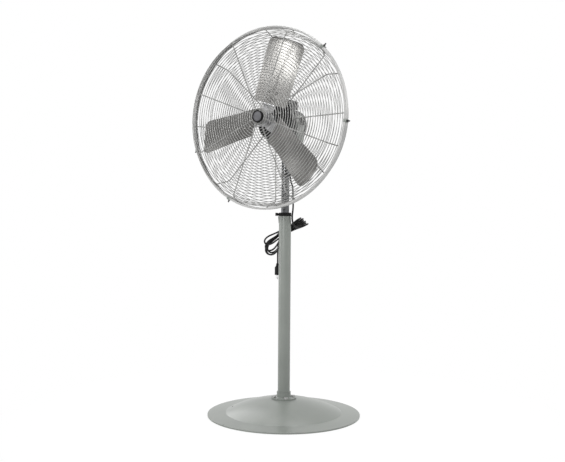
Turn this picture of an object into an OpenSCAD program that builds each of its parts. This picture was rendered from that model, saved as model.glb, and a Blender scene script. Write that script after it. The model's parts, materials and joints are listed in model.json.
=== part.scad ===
// Pedestal fan: a caged three-blade head on a telescoping pole with a round stamped base.
// The fan faces -Y, +Z is up, and the origin is on the floor at the centre of the base.

/* [Base] */
// Diameter of the round base
base_d = 712; // [600:1:800]
// Thickness of the stamped base sheet
base_t = 2.5; // [2:0.1:4]
// Height of the turned-down lip that stands on the floor
lip_h = 6; // [4:0.5:12]
// Width of the nearly flat rim outside the dome
rim_w = 84; // [40:1:120]
// Rise of the rim from the lip to the dome
rim_rise = 7; // [2:0.5:14]
// Height of the flat top of the dome above the floor
dome_h = 74; // [50:1:110]
// Radius of the flat top of the dome
dome_flat_r = 62; // [60:1:90]

/* [Foot flange] */
// Diameter of the flange at the foot of the pole
flange_d = 117; // [110:1:124]
// Thickness of the foot flange
flange_t = 6; // [4:0.5:10]
// Height of the socket that the pole stands in
socket_h = 32; // [20:1:60]
// Wall of the socket
socket_wall = 4; // [3:0.5:5]
// Number of bolts in the foot flange
bolt_count = 4; // [3:1:6]
// Shank diameter of the flange bolts
bolt_d = 8; // [6:0.5:8]

/* [Pole] */
// Outside diameter of the lower pole
pole_d = 57.15; // [54:0.05:60]
// Wall of the lower pole
pole_wall = 1.65; // [1.2:0.05:2.5]
// Height of the top of the lower pole above the floor
pole_top = 930; // [800:1:1000]
// Height of the black collar above the pole
collar_h = 16; // [14:0.5:24]
// How far the collar stands out from the pole
collar_lip = 1.2; // [0.5:0.1:3]
// Length of the collar's sleeve inside the pole
sleeve_l = 60; // [30:1:100]

/* [Height lock] */
// Diameter of the locking knob
lock_knob_d = 16; // [12:0.5:20]
// Length of the locking knob
lock_knob_l = 12; // [8:0.5:18]
// Diameter of the locking screw
lock_screw_d = 6; // [5:0.5:7]
// Direction of the locking knob round the pole, from +X
lock_angle = 213; // [180:1:240]

/* [Mast] */
// Outside diameter of the chromed inner tube
mast_d = 38.1; // [34:0.05:40]
// Wall of the inner tube
mast_wall = 1.6; // [1.2:0.1:3]
// Height of the tube's lower end above the floor, as set here
mast_low = 290; // [280:1:400]
// Length of the nylon guide on the tube's lower end
guide_l = 44; // [30:1:80]

/* [Yoke] */
// Width of the yoke's strap along the fan's axis
yoke_w = 60; // [40:1:70]
// Thickness of the yoke's strap
yoke_t = 6; // [4:0.5:8]
// Depth from the tilt axis to the yoke's bridge
yoke_drop = 105; // [100:1:130]
// Radius of the yoke's lower corners, inside
yoke_r = 34; // [20:1:50]
// Length of the yoke's socket on the inner tube
yoke_socket_l = 60; // [50:1:90]
// Wall of the yoke's socket
yoke_socket_wall = 5; // [4:0.5:7]
// Diameter of the tilt studs
stud_d = 10; // [8:0.5:12]
// Diameter of the tilt knobs
tilt_knob_d = 34; // [28:1:44]
// Thickness of the tilt knobs
tilt_knob_h = 16; // [12:1:22]

/* [Motor] */
// Height of the fan's axis above the floor
fan_h = 1368; // [1340:1:1420]
// Outside diameter of the motor's shell
motor_d = 138; // [130:1:144]
// Wall of the motor's shell
motor_wall = 2; // [1.5:0.1:3]
// Length of the motor's shell between its end bells
shell_l = 134; // [122:1:140]
// Length of each end bell
bell_l = 24; // [20:1:30]
// Diameter of the motor's shaft
shaft_d = 15.9; // [14:0.1:18]
// Diameter of the rotor core
rotor_d = 68; // [50:1:76]
// Length of the stator's and rotor's cores
core_l = 56; // [40:1:64]
// Air gap between the stator and the rotor
air_gap = 0.4; // [0.3:0.1:0.8]

/* [Switch box] */
// Width of the switch box
box_w = 64; // [56:1:72]
// Length of the switch box along the motor
box_l = 80; // [72:1:90]
// Height of the box's top above the fan's axis
box_top = 106; // [102:1:116]
// Wall of the switch box
box_wall = 2.5; // [2:0.1:4]
// Diameter of the speed knob
speed_knob_d = 26; // [20:1:30]
// Diameter of the start capacitor
capacitor_d = 22; // [16:1:24]

/* [Guards] */
// Outside diameter of the guard's rim band
rim_d = 826; // [810:1:860]
// Distance from the pole's axis forward to the middle of the rim
rim_y = 168; // [160:1:176]
// Width of the rim band along the axis
band_w = 24; // [20:1:36]
// Radial height of the rim band's flanges
band_h = 9; // [8:0.5:12]
// Thickness of the rim band
band_t = 2; // [1.5:0.1:3]
// Depth of the front guard at its middle
front_depth = 59; // [52:1:70]
// Depth of the rear guard at its middle
rear_depth = 80; // [74:1:86]
// Slope of the front guard's face
front_slope = 0.5; // [0.3:0.1:2]
// Slope of the rear guard's face
rear_slope = 0.5; // [0.3:0.1:2]
// Radius of the front guard's shoulder
front_shoulder_r = 22; // [14:1:28]
// Radius of the rear guard's shoulder
rear_shoulder_r = 22; // [14:1:30]
// Diameter of the ring wires
wire_d = 3; // [2:0.1:4]
// Diameter of the support ribs
rib_d = 5; // [4:0.1:6]
// Diameter of the wire along each guard's edge
edge_wire_d = 6; // [5:0.1:6.5]
// Distance from one ring wire to the next
wire_pitch = 12.5; // [10:0.1:16]
// Number of ribs in each guard
rib_count = 8; // [6:1:10]
// Clock angle of the front guard's first rib
front_rib_angle = 21.5; // [0:0.5:45]
// Clock angle of the rear guard's first rib
rear_rib_angle = 44; // [0:0.5:45]
// Diameter of the plain disc at the front guard's middle
badge_d = 54; // [48:1:70]
// Width of the rim clips
clip_w = 14; // [10:1:20]

/* [Blades] */
// Number of blades
blade_count = 3; // [3:1:3]
// Clock angle of the first blade
blade_angle = 19; // [0:1:119]
// Diameter swept by the blades
sweep_d = 724; // [680:1:750]
// Radius where a blade begins
blade_root_r = 66; // [60:1:80]
// Width of a blade at its root
root_chord = 150; // [120:1:170]
// Width of a blade at its tip
tip_chord = 172; // [130:1:190]
// Pitch of a blade where it is riveted
root_pitch = 24; // [16:0.5:32]
// Pitch of a blade at its tip
tip_pitch = 17; // [10:0.5:26]
// Depth of a blade's curve, as a share of its width
camber = 0.055; // [0.02:0.005:0.09]
// Thickness of a blade
blade_t = 2; // [1.5:0.1:3]
// Corner radius of a blade's tip
tip_corner = 26; // [10:1:40]
// Diameter of the hub
hub_d = 42; // [36:1:50]
// Width of the spider's arms
arm_w = 58; // [44:1:70]
// Thickness of the spider
spider_t = 3.5; // [3:0.1:5]
// Radius where the spider's arms end
arm_end_r = 134; // [120:1:150]
// Diameter of the rivets
rivet_d = 6; // [4:0.5:8]

/* [Cord] */
// Diameter of the mains cord
cord_d = 8; // [7:0.1:9]
// Depth of the folded hank of cord at its ends
hank_end_t = 51; // [48:1:56]
// Depth of the folded hank of cord where it is tied
hank_tied_t = 27; // [26:0.5:32]
// Width of the plug's body
plug_w = 26; // [22:1:30]
// Length of the plug's body
plug_l = 38; // [30:1:45]

/* [Fits] */
// Gap between pieces that seat on each other
seat = 0.3; // [0.2:0.05:0.4]
// Radial clearance of running fits
run = 0.08; // [0.03:0.01:0.1]

/* [Hidden] */
$fn = 96;

// Stand
base_r = base_d / 2;
crease_r = base_r - rim_w;
crease_h = lip_h + rim_rise;
// centre height of the sphere through the crease and the edge of the flat top
dome_centre = (pow(dome_flat_r, 2) + pow(dome_h, 2) - pow(crease_r, 2) - pow(crease_h, 2))
    / (2 * (dome_h - crease_h));
dome_r = norm([dome_flat_r, dome_h - dome_centre]);
flange_z = dome_h + seat;
pole_r = pole_d / 2;
pole_in_r = pole_r - pole_wall;
socket_r = pole_r + seat + socket_wall;
bolt_pcr = (socket_r + flange_d / 2) / 2;
head_h = 0.65 * bolt_d;
head_d = 1.85 * bolt_d;
washer_t = 1.5;
pole_low = flange_z;
mast_r = mast_d / 2;
collar_z = pole_top + seat;
collar_top = collar_z + collar_h;
collar_r = pole_r + collar_lip;
lock_z = collar_z + collar_h / 2;
lock_boss_r = lock_screw_d / 2 + 2.5;
lock_boss_end = collar_r + 3;
guide_r = pole_in_r - run;
guide_floor = 6;

// Guards: heights are measured outwards from the middle of the rim
rim_r = rim_d / 2;
edge_r = rim_r - band_t - seat - edge_wire_d / 2;
edge_h = edge_wire_d / 2 + 0.7;
rib_end_r = edge_r - edge_wire_d / 2 - seat - rib_d / 2;
ring_lift = (rib_d + wire_d) / 2 + seat;
bend_swell = 0.2;
mount_r = 92;
mount_t = 3;
mount_pcr = 45;
// ring wires of the face that are made with the shoulder's
last_face_rings = 5;
// [middle depth, face slope, side slope, shoulder radius, radius where the ribs start,
// distance from there to the first ring]
front = [front_depth, front_slope, 65, front_shoulder_r, 0.3 * badge_d,
    0.2 * badge_d + wire_pitch / 2];
rear = [rear_depth, rear_slope, 70, rear_shoulder_r, mount_r - 20, 20 + wire_pitch / 2];
mount_face = rear_depth - mount_r * tan(rear_slope) - rib_d / 2 - seat;
plate_d = badge_d + 24;
plate_t = 2;
clip_angles = [46, 96, 209, 252];

// Motor, along y from the pole's axis, which is also the tilt axis
motor_r = motor_d / 2;
front_y = mount_face + seat - rim_y;
shell_y0 = front_y + bell_l;
shell_y1 = shell_y0 + shell_l;
rear_y = shell_y1 + bell_l;
core_y = (shell_y0 + shell_y1) / 2;
shaft_r = shaft_d / 2;
bearing_r = 19;
bearing_l = 12;
band_thick = 2.5;
band_wide = 30;
arm_in = motor_r + seat + band_thick + 5;
arm_out = arm_in + yoke_t;
stud_end = arm_out + 0.7 * tilt_knob_h;
bridge_z = fan_h - yoke_drop;
mast_top = bridge_z - yoke_t - seat;
yoke_socket_z = bridge_z - yoke_t - yoke_socket_l;
yoke_socket_r = mast_r + run + yoke_socket_wall;
box_clear = motor_r + 2 * seat + band_thick;
box_y0 = -14;
box_y1 = box_y0 + box_l;
lid_screw_y = [box_y0 + 8, box_y1 - 8];
box_low = 0.9 * motor_r;
box_h = box_top - box_low;
capacitor_x = -12;
capacitor_z = sqrt(pow(box_clear + capacitor_d / 2, 2) - pow(capacitor_x, 2));
knob_z = fan_h + box_top - 22;

// Blades
hub_front = 16;
hub_back = -56;
shaft_front = 20;
sweep_r = sweep_d / 2;
spider_plate_r = hub_d / 2 + 18;
arm_t = spider_t - 0.4;
arm_start_r = spider_plate_r + 2;
arm_turned_r = blade_root_r - 3;
rivet_spots = [[88, -17], [88, 17], [118, -17], [118, 17]];

// Cord
view_turn = 33;
hank_y = 59;
hank_right = [82, 903];
hank_tied = [30, 874.5];
hank_bend = [0, 858];
hank_left = [-64, 774];
hank_far_left = [-80, 811];
clip_h = 12;
// distance from the yoke's socket down to the clip's top
clip_drop = 68;
clip_z = yoke_socket_z - clip_drop - clip_h;
clip_t = 1.5;
clip_turn = 50;
clip_r = mast_r + run + clip_t + run + cord_d / 2;
clip_at = [clip_r * cos(clip_turn), clip_r * sin(clip_turn), clip_z + clip_h / 2];
lead_angle = 20;
lead_r = 116;
lead_x = -34;
plug_at = [-33, 75, 704];
// height of the clip above the collar at which the cord's points were chosen
cord_hang = 170.7;
function hang(h) = collar_top + h * (clip_z - collar_top) / cord_hang;

lead_route = [
    [lead_x, lead_r * cos(lead_angle), fan_h - lead_r * sin(lead_angle)],
    [-34, 128, fan_h - 46], [-33, 143, fan_h - 59], [-30, 151, fan_h - 78], [-25, 149, fan_h - 98],
    [-18, 137, fan_h - 118], [-10, 115, fan_h - 138], [-2, 90, fan_h - 159.5], [5, 65, fan_h - 180],
    [11, 45.5, clip_z + 55], [14.5, 30.5, clip_z + 42.5], [15.6, 23, clip_z + 33],
    clip_at + [0, 0, 14], clip_at + [0, 0, 8], clip_at + [0, 0, seat / 2]];
drop_route = [
    clip_at - [0, 0, seat / 2], clip_at - [0, 0, 8], [clip_at.x, clip_at.y, hang(162.7)],
    [16.5, 20, hang(152.7)], [19, 23.5, hang(141.7)], [22.5, 28, hang(129.7)], [24, 29, hang(115.7)],
    [25, 28.5, hang(98.7)], [27, 27, hang(68.7)], [31, 22, hang(38.7)], [35, 14, hang(13.7)], [38, 4, 938],
    [38.5, 1, 922], [37, 6, 908], [34, 17, 895], [32, 33, 884], [33, 50, 877], [38.5, 65.5, 876], [47, 75, 880]];
tail_route = [
    [-29, 77, 804], [-32, 77, 782], [-33, 76, 760], [-33, 75.5, 735], [-33, 75, 704.3]];

// --- shared forms ---

// A rectangle with round corners, centred, with true arcs
module round_rect(w, h, r) {
    square([w - 2 * r, h], center = true);
    square([w, h - 2 * r], center = true);
    for (x = [-1, 1], y = [-1, 1])
        translate([x * (w / 2 - r), y * (h / 2 - r)]) circle(r = r);
}

// A round tube along z from z0 to z1
module tube(r_out, r_in, z0, z1) {
    difference() {
        translate([0, 0, z0]) cylinder(r = r_out, h = z1 - z0);
        translate([0, 0, z0 - 1]) cylinder(r = r_in, h = z1 - z0 + 2);
    }
}

// A hexagon head or nut across flats
module hex(across, h) cylinder(d = across / cos(30), h = h, $fn = 6);

// A hand knob with scallops round its edge
module hand_knob(d, h, lobes, bore_d) {
    difference() {
        union() {
            cylinder(d = d, h = h * 0.6);
            translate([0, 0, h * 0.6]) cylinder(d1 = d, d2 = d * 0.8, h = h * 0.4);
        }
        for (i = [0 : lobes - 1]) rotate([0, 0, i * 360 / lobes])
            translate([d * 0.56, 0, -1]) cylinder(d = d * 0.24, h = h + 2);
        translate([0, 0, -1]) cylinder(d = bore_d, h = h * 0.75 + 1);
    }
}

// The head's frame: local z points forwards along the fan's axis, y up, origin amid the rim
module head_frame() translate([0, -rim_y, fan_h]) rotate([90, 0, 0]) children();

// The motor's frame: local z points back along the axis from the tilt axis, y up
module motor_frame() translate([0, 0, fan_h]) rotate([90, 0, 0]) mirror([0, 0, 1]) children();

// Turns a radius along y to a clock angle seen from the front
module clock(angle) rotate([0, 0, -angle]) children();

// Smooth points through a route: Catmull-Rom, n steps a span
function mix(p, i) = p[max(0, min(len(p) - 1, i))];
function spline(a, b, c, d, t) = 0.5 * (2 * b + (c - a) * t + (2 * a - 5 * b + 4 * c - d) * t * t
    + (3 * b - a - 3 * c + d) * t * t * t);
function smooth(p, n) = concat(
    [for (i = [0 : len(p) - 2], k = [0 : n - 1])
        spline(mix(p, i - 1), p[i], p[i + 1], mix(p, i + 2), k / n)],
    [p[len(p) - 1]]);
function unit(v) = v / norm(v);

// A round tube swept along points, with sides flats round it
module sweep_tube(points, d, side, sides = 8) {
    last = len(points) - 1;
    rings = [for (i = [0 : last])
        let (t = unit(points[min(last, i + 1)] - points[max(0, i - 1)]),
            u = unit(cross(t, side)), v = cross(t, u))
        for (k = [0 : sides - 1])
            let (a = k * 360 / sides) points[i] + (u * cos(a) + v * sin(a)) * d / 2];
    walls = [for (i = [0 : last - 1], k = [0 : sides - 1])
        let (a = i * sides + k, b = i * sides + (k + 1) % sides)
        each [[a, a + sides, b], [b, a + sides, b + sides]]];
    ends = [[for (k = [0 : sides - 1]) k], [for (k = [sides - 1 : -1 : 0]) last * sides + k]];
    polyhedron(rings, concat(walls, ends));
}

// --- stand ---

module base_dish() color([0.60, 0.63, 0.60]) difference() {
    rotate_extrude() {
        translate([base_r - base_t, 0]) square([base_t, lip_h]);
        polygon([[base_r, lip_h - base_t], [base_r, lip_h], [crease_r, crease_h],
            [crease_r - 2, crease_h - base_t]]);
        intersection() {
            difference() {
                translate([0, dome_centre]) circle(r = dome_r, $fn = 360);
                translate([0, dome_centre]) circle(r = dome_r - base_t, $fn = 360);
            }
            translate([dome_flat_r - 0.5, crease_h - base_t])
                square([crease_r - dome_flat_r + 0.5, dome_h]);
        }
        translate([0, dome_h - base_t]) square([dome_flat_r, base_t]);
    }
    for (i = [0 : bolt_count - 1]) rotate([0, 0, (i + 0.5) * 360 / bolt_count])
        translate([bolt_pcr, 0, dome_h - 2 * base_t]) cylinder(d = bolt_d + 2 * run, h = 3 * base_t);
}

module foot_flange() color([0.55, 0.58, 0.55]) difference() {
    union() {
        translate([0, 0, flange_z]) cylinder(d = flange_d, h = flange_t);
        translate([0, 0, flange_z]) cylinder(r = socket_r, h = socket_h);
        translate([0, 0, flange_z + flange_t])
            cylinder(r1 = socket_r + 3, r2 = socket_r, h = 3);
    }
    translate([0, 0, flange_z - 1]) cylinder(r = pole_r + seat, h = socket_h + 2);
    for (i = [0 : bolt_count - 1]) rotate([0, 0, (i + 0.5) * 360 / bolt_count])
        translate([bolt_pcr, 0, flange_z - 1]) cylinder(d = bolt_d + 2 * run, h = flange_t + 2);
}

module flange_bolts() color([0.15, 0.15, 0.16])
    for (i = [0 : bolt_count - 1]) rotate([0, 0, (i + 0.5) * 360 / bolt_count])
        translate([bolt_pcr, 0, 0]) {
            bolt_low = dome_h - base_t - seat - washer_t - head_h - 3;
            translate([0, 0, flange_z + flange_t + seat]) {
                cylinder(d = head_d * 1.15, h = washer_t);
                translate([0, 0, washer_t]) hex(head_d, head_h);
            }
            translate([0, 0, bolt_low]) cylinder(d = bolt_d, h = flange_z + flange_t + 1 - bolt_low);
        }

module flange_nuts() color([0.15, 0.15, 0.16])
    for (i = [0 : bolt_count - 1]) rotate([0, 0, (i + 0.5) * 360 / bolt_count])
        translate([bolt_pcr, 0, dome_h - base_t - seat]) difference() {
            union() {
                translate([0, 0, -washer_t]) cylinder(d = head_d * 1.15, h = washer_t);
                translate([0, 0, -washer_t - head_h]) hex(head_d, head_h);
            }
            translate([0, 0, -washer_t - head_h - 1])
                cylinder(d = bolt_d + 2 * run, h = head_h + washer_t + 2);
        }

module lower_pole() color([0.55, 0.58, 0.55]) difference() {
    tube(pole_r, pole_in_r, pole_low, pole_top);
    // seam of the rolled top edge
    translate([0, 0, pole_top - 1]) difference() {
        cylinder(r = pole_r + 1, h = 2);
        translate([0, 0, -1]) cylinder(r1 = pole_r + 0.5, r2 = pole_r - 1, h = 4);
    }
}

module pole_collar() color([0.07, 0.07, 0.08]) difference() {
    union() {
        translate([0, 0, pole_top - sleeve_l]) cylinder(r = pole_in_r - seat / 2, h = sleeve_l + 1);
        translate([0, 0, collar_z]) cylinder(r = collar_r, h = collar_h - 2);
        translate([0, 0, collar_top - 2]) cylinder(r1 = collar_r, r2 = collar_r - 2, h = 2);
        rotate([0, 0, lock_angle]) translate([0, 0, lock_z]) rotate([0, 90, 0])
            cylinder(r = lock_boss_r, h = lock_boss_end);
    }
    translate([0, 0, pole_top - sleeve_l - 1])
        cylinder(r = mast_r + run, h = sleeve_l + seat + collar_h + 2);
    rotate([0, 0, lock_angle]) translate([0, 0, lock_z]) rotate([0, 90, 0])
        cylinder(r = lock_screw_d / 2 + run, h = 2 * collar_r);
}

// Gusset on the pole under the collar's boss
module collar_bracket() color([0.55, 0.58, 0.55]) rotate([0, 0, lock_angle]) difference() {
    translate([0, 2, 0]) rotate([90, 0, 0]) linear_extrude(4)
        polygon([[pole_r - 2, pole_top - 34], [pole_r + 1, pole_top - 34],
            [lock_boss_end, lock_z - lock_boss_r - seat - 4],
            [lock_boss_end, lock_z - lock_boss_r - seat],
            [collar_r + seat, lock_z - lock_boss_r - seat], [collar_r + seat, pole_top - 4],
            [pole_r - 2, pole_top - 4]]);
    translate([0, 0, pole_top - 60]) cylinder(r = pole_r + seat / 3, h = 120);
}

module lock_screw() color([0.75, 0.75, 0.76])
    rotate([0, 0, lock_angle]) translate([0, 0, lock_z]) rotate([0, 90, 0])
        translate([0, 0, mast_r + seat])
            cylinder(d = lock_screw_d, h = lock_boss_end + seat + lock_knob_l * 0.7 - mast_r - seat);

module lock_knob() color([0.07, 0.07, 0.08])
    rotate([0, 0, lock_angle]) translate([0, 0, lock_z]) rotate([0, 90, 0])
        translate([0, 0, lock_boss_end + seat])
            hand_knob(lock_knob_d, lock_knob_l, 6, lock_screw_d + 2 * run);

// --- mast ---

module mast_guide() color([0.88, 0.87, 0.80]) difference() {
    translate([0, 0, mast_low - guide_floor]) {
        cylinder(r1 = guide_r - 1.5, r2 = guide_r, h = 3);
        translate([0, 0, 3]) cylinder(r = guide_r, h = guide_l - 3);
    }
    translate([0, 0, mast_low - seat]) cylinder(r = mast_r + run, h = guide_l);
    translate([0, 0, mast_low - guide_floor - 1]) cylinder(r = mast_r - mast_wall - 2, h = guide_l);
}

module mast_tube() color([0.86, 0.87, 0.88]) tube(mast_r, mast_r - mast_wall, mast_low, mast_top);

// One side of the yoke's outline: arm, round corner and half the bridge, in x and z
module yoke_profile() {
    w = arm_out + arm_in;
    difference() {
        union() {
            translate([-arm_out, -yoke_drop + yoke_r]) square([2 * arm_out, yoke_drop - yoke_r]);
            translate([-arm_out + yoke_r + yoke_t, -yoke_drop - yoke_t])
                square([2 * (arm_out - yoke_r - yoke_t), yoke_r + 2 * yoke_t]);
            for (x = [-1, 1]) translate([x * (arm_out - yoke_r - yoke_t), -yoke_drop + yoke_r])
                circle(r = yoke_r + yoke_t);
        }
        translate([-arm_in, -yoke_drop + yoke_r]) square([2 * arm_in, yoke_drop]);
        translate([-arm_in + yoke_r, -yoke_drop]) square([2 * (arm_in - yoke_r), yoke_r + 1]);
        for (x = [-1, 1]) translate([x * (arm_in - yoke_r), -yoke_drop + yoke_r])
            circle(r = yoke_r);
    }
}

module yoke() color([0.42, 0.44, 0.44]) difference() {
    union() {
        translate([0, yoke_w / 2, fan_h]) rotate([90, 0, 0]) linear_extrude(yoke_w) yoke_profile();
        for (x = [-arm_out, arm_in]) translate([x, 0, fan_h]) rotate([0, 90, 0])
            cylinder(d = yoke_w, h = yoke_t);
        translate([0, 0, yoke_socket_z]) cylinder(r = yoke_socket_r, h = yoke_socket_l + 1);
        translate([0, 0, bridge_z - yoke_t - 6])
            cylinder(r1 = yoke_socket_r, r2 = yoke_socket_r + 5, h = 6);
    }
    translate([0, 0, yoke_socket_z - 1]) cylinder(r = mast_r + run, h = yoke_socket_l + 1);
    translate([-stud_end, 0, fan_h]) rotate([0, 90, 0])
        cylinder(r = stud_d / 2 + run, h = 2 * stud_end);
    for (z = [0.3, 0.75]) translate([0, 0, yoke_socket_z + z * yoke_socket_l]) rotate([-90, 0, 90])
        cylinder(r = lock_screw_d / 2 + run, h = 2 * yoke_socket_r);
}

// Screws that clamp the yoke's socket to the tube, on its left side
module socket_bolts() color([0.2, 0.2, 0.21])
    for (z = [0.3, 0.75]) translate([0, 0, yoke_socket_z + z * yoke_socket_l]) rotate([0, -90, 0]) {
        translate([0, 0, mast_r + seat / 2])
            cylinder(d = lock_screw_d, h = yoke_socket_r - mast_r + 2);
        translate([0, 0, yoke_socket_r + seat]) hex(10, 5);
    }

// Sheet-metal clip round the tube with a loop for the cord
module cord_clip() color([0.2, 0.2, 0.21]) difference() {
    union() {
        translate([0, 0, clip_z]) cylinder(r = mast_r + run + clip_t, h = clip_h);
        translate([clip_at.x, clip_at.y, clip_z])
            cylinder(r = cord_d / 2 + run + clip_t, h = clip_h);
    }
    translate([0, 0, clip_z - 1]) cylinder(r = mast_r + run, h = clip_h + 2);
    translate([clip_at.x, clip_at.y, clip_z - 1])
        cylinder(r = cord_d / 2 + run, h = clip_h + 2);
}

// --- cord ---

module motor_lead() color([0.05, 0.05, 0.05]) sweep_tube(smooth(lead_route, 2), cord_d, [1, 0, 0]);

module cord_drop() color([0.05, 0.05, 0.05]) sweep_tube(smooth(drop_route, 2), cord_d, [0, 1, 0.2]);

module cord_tail() color([0.05, 0.05, 0.05]) rotate([0, 0, view_turn])
    sweep_tube(smooth(tail_route, 3), cord_d, [0, 1, 0]);

// A short fat drum of the hank, its axis pointing away from the pole
module hank_drum(at, r, depth) translate([at.x, hank_y + depth / 2, at.y]) rotate([90, 0, 0])
    cylinder(r = r, h = depth, $fn = 32);

// The outer shape of the folded hank, hung behind the pole and spread at both ends
module cord_hank() color([0.05, 0.05, 0.05]) rotate([0, 0, view_turn]) {
    hull() {
        hank_drum(hank_right, 24, hank_end_t);
        hank_drum(hank_tied, 17, hank_tied_t);
    }
    hull() {
        hank_drum(hank_tied, 17, hank_tied_t);
        hank_drum(hank_bend, 17, hank_tied_t);
    }
    hull() {
        hank_drum(hank_bend, 17, hank_tied_t);
        hank_drum(hank_left, 30, hank_end_t);
        hank_drum(hank_far_left, 19, hank_end_t);
    }
}

// Strap round the hank where it is tied
module cord_tie() color([0.12, 0.12, 0.13]) rotate([0, 0, view_turn])
    translate([(hank_tied.x + hank_bend.x) / 2, hank_y, (hank_tied.y + hank_bend.y) / 2])
        rotate([0, -29, 0]) rotate([0, 90, 0]) translate([0, 0, -4.5]) linear_extrude(9)
            difference() {
                round_rect(39, hank_tied_t + 6, 6);
                round_rect(35, hank_tied_t + 2, 2);
            }

module plug_body() color([0.05, 0.05, 0.05]) rotate([0, 0, view_turn]) translate(plug_at) {
    mirror([0, 0, 1]) {
        difference() {
            cylinder(d1 = cord_d + 4, d2 = 16, h = 18);
            for (k = [0 : 2]) translate([0, 0, 3 + 4.5 * k]) difference() {
                cylinder(r = 12, h = 1.6);
                translate([0, 0, -1]) cylinder(r = 4.6 + 0.6 * k, h = 4);
            }
        }
        translate([0, 0, 17]) linear_extrude(plug_l) round_rect(plug_w, plug_w * 0.85, 8);
    }
}

module plug_prongs() color([0.80, 0.72, 0.45]) rotate([0, 0, view_turn]) translate(plug_at)
    mirror([0, 0, 1]) translate([0, 0, 17 + plug_l + seat]) {
        for (x = [-1, 1]) translate([x * 6.35 - 0.75, -6.5, 0]) cube([1.5, 6.35, 17]);
        translate([0, 5, 0]) cylinder(d = 4.8, h = 18);
        translate([0, 5, 18]) cylinder(d1 = 4.8, d2 = 2.4, h = 2.4);
    }

// --- motor ---

module motor_shell() color([0.10, 0.10, 0.11]) motor_frame()
    tube(motor_r, motor_r - motor_wall, shell_y0 + seat, shell_y1 - seat);

// Domed end bell, open side at z = 0, with a bearing seat and vents
module end_bell(h) difference() {
    union() {
        cylinder(r = motor_r, h = h * 0.4);
        translate([0, 0, h * 0.4]) cylinder(r1 = motor_r, r2 = motor_r - 5, h = h * 0.25);
        translate([0, 0, h * 0.65]) cylinder(r1 = motor_r - 5, r2 = motor_r - 16, h = h * 0.35);
    }
    translate([0, 0, -1]) cylinder(r = motor_r - 4, h = h * 0.4 + 1);
    translate([0, 0, h * 0.4 - 0.01]) cylinder(r1 = motor_r - 4, r2 = motor_r - 19, h = h * 0.6 - 3);
    for (i = [0 : 7]) rotate([0, 0, (i + 0.5) * 45]) translate([motor_r - 30, -4, h * 0.4])
        cube([22, 8, h]);
}

module bell_with_seat(h) {
    difference() {
        union() {
            end_bell(h);
            translate([0, 0, h - bearing_l - 3]) cylinder(r = bearing_r + 4, h = bearing_l + 3);
        }
        translate([0, 0, h - bearing_l - 4]) cylinder(r = bearing_r + seat / 3, h = bearing_l + 1);
        translate([0, 0, -1]) cylinder(r = shaft_r + 2, h = h + 2);
    }
}

module front_bell() color([0.12, 0.12, 0.13]) difference() {
    motor_frame() translate([0, 0, shell_y0]) mirror([0, 0, 1]) bell_with_seat(bell_l);
    mount_holes();
}

module rear_bell() color([0.45, 0.47, 0.47]) motor_frame() difference() {
    translate([0, 0, shell_y1]) bell_with_seat(bell_l);
    gland_cut(9 + seat);
}

// The cord gland's axis, which points away from the tilt axis
module gland_line() translate([lead_x, 0, fan_h]) rotate([-90 - lead_angle, 0, 0]) children();

module gland_cut(r) translate([lead_x, 0, 0]) rotate([lead_angle, 0, 0]) cylinder(r = r, h = lead_r);

module cord_gland() color([0.05, 0.05, 0.05]) gland_line() difference() {
    union() {
        translate([0, 0, lead_r - 34]) cylinder(r = 9, h = 18);
        translate([0, 0, lead_r - 16]) cylinder(r1 = 9, r2 = cord_d / 2 + 2, h = 16 - seat);
    }
    translate([0, 0, lead_r - 40]) cylinder(r = cord_d / 2 - 1, h = 30);
}

module stator_core() color([0.45, 0.45, 0.47]) motor_frame()
    tube(motor_r - motor_wall - seat, rotor_d / 2 + air_gap, core_y - core_l / 2,
        core_y + core_l / 2);

module stator_windings() color([0.72, 0.38, 0.16]) motor_frame()
    for (z = [core_y - core_l / 2 - 8 - seat, core_y + core_l / 2 + 8 + seat])
        translate([0, 0, z]) rotate_extrude() translate([(motor_r + rotor_d / 2) / 2, 0])
            round_rect(24, 16, 6);

module bearing() {
    difference() {
        cylinder(r = bearing_r, h = bearing_l - 0.6);
        translate([0, 0, -1]) cylinder(r = shaft_r + run, h = bearing_l + 2);
        for (z = [-1, bearing_l - 1.4]) translate([0, 0, z]) tube(bearing_r - 3, shaft_r + 3, 0, 1.8);
    }
}

module front_bearing() color([0.7, 0.7, 0.72]) motor_frame()
    translate([0, 0, front_y + 3 + 0.3]) bearing();

module rear_bearing() color([0.7, 0.7, 0.72]) motor_frame()
    translate([0, 0, rear_y - 3 - bearing_l + 0.3]) bearing();

// Strap round the motor with a threaded boss on each side for the tilt studs
module motor_band() color([0.42, 0.44, 0.44]) difference() {
    union() {
        translate([0, band_wide / 2, fan_h]) rotate([90, 0, 0])
            cylinder(r = motor_r + seat + band_thick, h = band_wide);
        for (x = [-1, 1]) translate([0, 0, fan_h]) rotate([0, x * 90, 0])
            cylinder(r = 14, h = arm_in - seat);
    }
    translate([0, band_wide, fan_h]) rotate([90, 0, 0])
        cylinder(r = motor_r + seat, h = 2 * band_wide);
    translate([-stud_end, 0, fan_h]) rotate([0, 90, 0])
        cylinder(r = stud_d / 2 + run, h = 2 * stud_end);
}

module tilt_studs() color([0.7, 0.7, 0.72])
    for (x = [-1, 1]) translate([0, 0, fan_h]) rotate([0, x * 90, 0])
        translate([0, 0, motor_r + 2 * seat])
            cylinder(d = stud_d, h = stud_end - motor_r - 2 * seat);

module tilt_knob(side) translate([0, 0, fan_h]) rotate([0, side * 90, 0])
    translate([0, 0, arm_out + seat]) {
        hand_knob(tilt_knob_d, tilt_knob_h, 6, stud_d + 2 * run);
        translate([0, 0, tilt_knob_h]) cylinder(d = tilt_knob_d * 0.4, h = 6);
    }

module tilt_knob_left() color([0.07, 0.07, 0.08]) tilt_knob(-1);

module tilt_knob_right() color([0.07, 0.07, 0.08]) tilt_knob(1);

// --- switch box ---

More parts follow.
